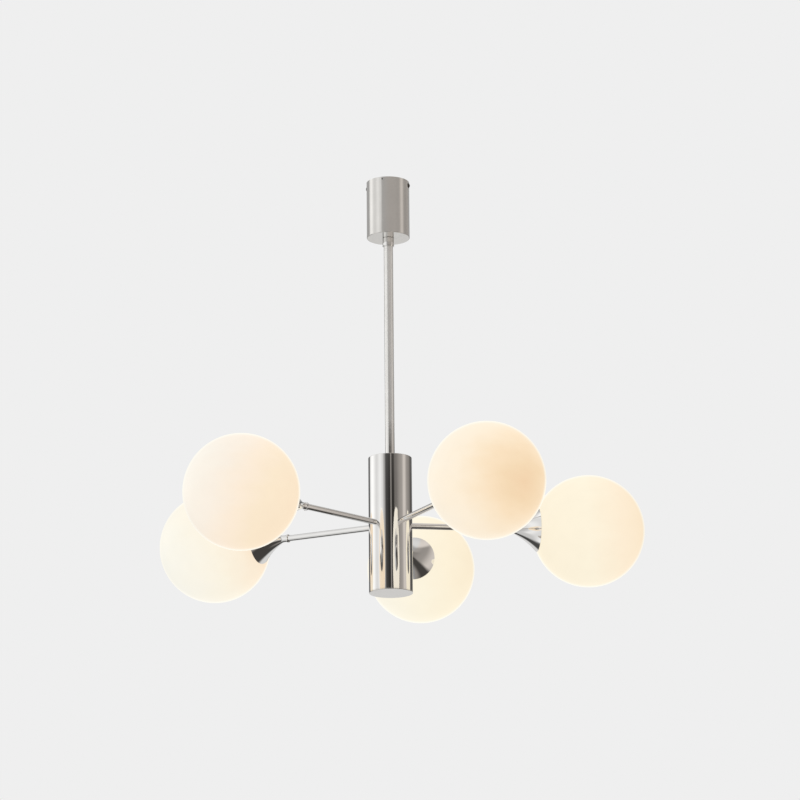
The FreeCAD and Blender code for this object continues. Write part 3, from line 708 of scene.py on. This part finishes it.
def studio_tone(bearing, height):
    """The studio's brightness and tint for polished metal, by bearing and elevation in degrees."""
    back = smooth(abs(bearing), *BACK_START)
    left = smooth(-bearing, *LEFT_START) * smooth(bearing, *LEFT_END)
    shade = smooth(-bearing, *SHADE_START) * (1 - smooth(-bearing, *SHADE_END))
    wall = wall_tone(bearing, height)
    ceiling = between(CEILING, CEILING_CENTRE, smooth(height, *CEILING_MIDDLE))
    skirting = between(between(wall, SKIRTING_FRONT, in_front(bearing)), SKIRTING_BACK, back)
    skirting = between(skirting, SKIRTING_SHADE, shade)
    ground = between(between(GROUND, GROUND_LEFT, left), GROUND_CENTRE,
                     smooth(-height, *GROUND_MIDDLE))
    tone = between(wall, ceiling, smooth(height, *CEILING_START))
    tone = between(skirting, tone, smooth(height, *SKIRTING_TOP))
    tone = between(ground, tone, smooth(height, *GROUND_EDGE))
    warm = smooth(bearing, *WARM_START) * (1 - smooth(bearing, *WARM_END))
    return [tone, tone * between(*GREEN_SHARE, warm), tone * between(*BLUE_SHARE, warm)]


def reflected_studio():
    """A dome round the lamp that only shows in reflections."""
    verts, tones = [], []
    for rise in range(DOME_RISES + 1):
        height = math.radians(180 * rise / DOME_RISES - 90)
        flat = DOME_RADIUS * math.cos(height)
        for k in range(DOME_ROUNDS + 1):
            bearing = 360 * k / DOME_ROUNDS - 180
            turn = math.radians(bearing - 90) - CAMERA_ROUND
            verts.append((flat * math.cos(turn), flat * math.sin(turn),
                          ARM_LEVEL + DOME_RADIUS * math.sin(height)))
            tones += [*studio_tone(bearing, math.degrees(height)), 1]
    row = DOME_ROUNDS + 1
    faces = [(r * row + k, r * row + k + 1, (r + 1) * row + k + 1, (r + 1) * row + k)
             for r in range(DOME_RISES) for k in range(DOME_ROUNDS)]
    mesh = bpy.data.meshes.new("reflected_studio")
    mesh.from_pydata(verts, [], faces)
    mesh.color_attributes.new("tone", "FLOAT_COLOR", "POINT").data.foreach_set("color", tones)
    material = bpy.data.materials.new("studio_tones")
    material.use_nodes = True
    material.cycles.emission_sampling = "NONE"
    tree = material.node_tree
    tree.nodes.clear()
    tone = add_node(tree, "ShaderNodeAttribute", attribute_name="tone")
    light = add_node(tree, "ShaderNodeEmission")
    tree.links.new(tone.outputs["Color"], light.inputs["Color"])
    output = add_node(tree, "ShaderNodeOutputMaterial")
    tree.links.new(light.outputs["Emission"], output.inputs["Surface"])
    mesh.materials.append(material)
    made = add_object("reflected_studio", mesh)
    made.visible_camera = False
    made.visible_diffuse = False
    made.visible_transmission = False
    made.visible_volume_scatter = False
    made.visible_shadow = False


def seen_rays(tree):
    """1 for rays from the camera, a mirror or clear glass, 0 for light on matt surfaces."""
    path = add_node(tree, "ShaderNodeLightPath")
    seen = path.outputs["Is Camera Ray"]
    for ray in ("Is Glossy Ray", "Is Transmission Ray"):
        higher = add_node(tree, "ShaderNodeMath", operation="MAXIMUM")
        tree.links.new(seen, higher.inputs[0])
        tree.links.new(path.outputs[ray], higher.inputs[1])
        seen = higher.outputs[0]
    return seen


def mixed_by_sight(tree, unseen, seen):
    """One shader for the rays that see it and another for the rest."""
    mixed = add_node(tree, "ShaderNodeMixShader")
    tree.links.new(seen_rays(tree), mixed.inputs[0])
    tree.links.new(unseen, mixed.inputs[1])
    tree.links.new(seen, mixed.inputs[2])
    return mixed.outputs[0]


def pale_floor():
    """A floor as pale as the backdrop where it is seen, with the shadows that fall on it."""
    look = Look("pale_floor")
    look.plain(Roughness=0.9, IOR=1.4)
    look.varied(Base_Color=look.clouded(2, 4, *FLOOR_GREYS))
    matt = look.node("ShaderNodeBsdfDiffuse")
    matt.inputs["Color"].default_value = grey(FLOOR_MATT)
    pale = look.node("ShaderNodeEmission")
    pale.inputs["Color"].default_value = grey(FLOOR_GLOW)
    both = look.node("ShaderNodeAddShader")
    look.link(matt.outputs[0], both.inputs[0])
    look.link(pale.outputs[0], both.inputs[1])
    look.link(mixed_by_sight(look.tree, look.shader.outputs[0], both.outputs[0]),
              look.tree.nodes["Material Output"].inputs["Surface"])
    half = FLOOR_SIZE / 2
    corners = [(-half, -half, FLOOR_LEVEL), (half, -half, FLOOR_LEVEL),
               (half, half, FLOOR_LEVEL), (-half, half, FLOOR_LEVEL)]
    mesh = bpy.data.meshes.new("floor")
    mesh.from_pydata(corners, [], [(0, 1, 2, 3)])
    mesh.materials.append(look.material)
    add_object("floor", mesh)


def studio_world():
    """The pale background for what sees it, and a soft ambient light for the rest."""
    world = bpy.data.worlds.new("studio")
    world.use_nodes = True
    bpy.context.scene.world = world
    tree = world.node_tree
    tree.nodes.clear()
    ambient = add_node(tree, "ShaderNodeBackground")
    ambient.inputs["Color"].default_value = grey(1)
    ambient.inputs["Strength"].default_value = AMBIENT
    backdrop = add_node(tree, "ShaderNodeBackground")
    backdrop.inputs["Color"].default_value = grey(BACKGROUND)
    output = add_node(tree, "ShaderNodeOutputWorld")
    tree.links.new(mixed_by_sight(tree, ambient.outputs[0], backdrop.outputs[0]),
                   output.inputs["Surface"])


def soft_light(name, right, away, up, size, power):
    """A large area light that looks at the lamp and doesn't show in reflections."""
    data = bpy.data.lights.new(name, "AREA")
    data.shape = "SQUARE"
    data.size = size
    data.energy = power
    light = add_object(name, data)
    side = Vector((math.cos(CAMERA_ROUND), -math.sin(CAMERA_ROUND), 0))
    forward = Vector((math.sin(CAMERA_ROUND), math.cos(CAMERA_ROUND), 0))
    light.location = side * right + forward * away + Vector((0, 0, ARM_LEVEL + up))
    aim = Vector((0, 0, ARM_LEVEL)) - light.location
    light.rotation_mode = "QUATERNION"
    light.rotation_quaternion = aim.to_track_quat("-Z", "Y")
    light.visible_glossy = False


def photo_camera():
    """The camera, where the photo was taken from."""
    data = bpy.data.cameras.new("camera")
    data.lens = CAMERA_LENS
    data.sensor_width = SENSOR_WIDTH
    data.clip_end = CLIP_END
    camera = add_object("camera", data)
    level = CAMERA_DISTANCE * math.cos(CAMERA_BELOW)
    place = Matrix.Translation((-level * math.sin(CAMERA_ROUND), -level * math.cos(CAMERA_ROUND),
                                ARM_LEVEL - CAMERA_DISTANCE * math.sin(CAMERA_BELOW)))
    heading = Matrix.Rotation(-CAMERA_YAW - CAMERA_ROUND, 4, "Z")
    tilt = Matrix.Rotation(math.pi / 2 + CAMERA_TILT, 4, "X")
    roll = Matrix.Rotation(CAMERA_ROLL, 4, "Z")
    camera.matrix_world = place @ (heading @ tilt @ roll)
    bpy.context.scene.camera = camera


reflected_studio()
pale_floor()
studio_world()
soft_light("key", right=-2.4, away=-2.2, up=1.8, size=2.2, power=42)
soft_light("fill", right=2.6, away=-2.6, up=0.9, size=2.4, power=18)
photo_camera()
bpy.context.scene.view_settings.view_transform = "Standard"
